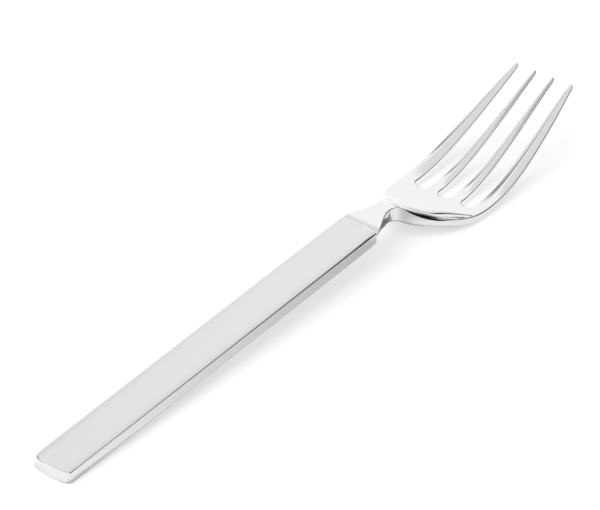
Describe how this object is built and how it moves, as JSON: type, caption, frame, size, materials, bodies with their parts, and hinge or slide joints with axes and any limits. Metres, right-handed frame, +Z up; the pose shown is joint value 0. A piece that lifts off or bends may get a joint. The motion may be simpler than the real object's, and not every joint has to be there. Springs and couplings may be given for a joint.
{
  "type": "dinner fork",
  "caption": "Dinner fork with a flat satin handle and a polished narrow neck, shallow curved bowl and slender rounded tines.",
  "frame": {"origin": "centre of the fork's outline from above, at the height of the table it lies on", "axes": "+X across the fork, +Y along it towards the ends of the tines, +Z up, with the fork lying on the end of its handle and the back of its bowl"},
  "size_m": [0.0266, 0.1944, 0.0182],
  "materials": {
    "satin_steel": "satin stainless steel with polished edges",
    "polished_steel": "mirror polished stainless steel"
  },
  "bodies": {
    "root": {"handle": "satin_steel", "head": "polished_steel"}
  },
  "joints": []
}
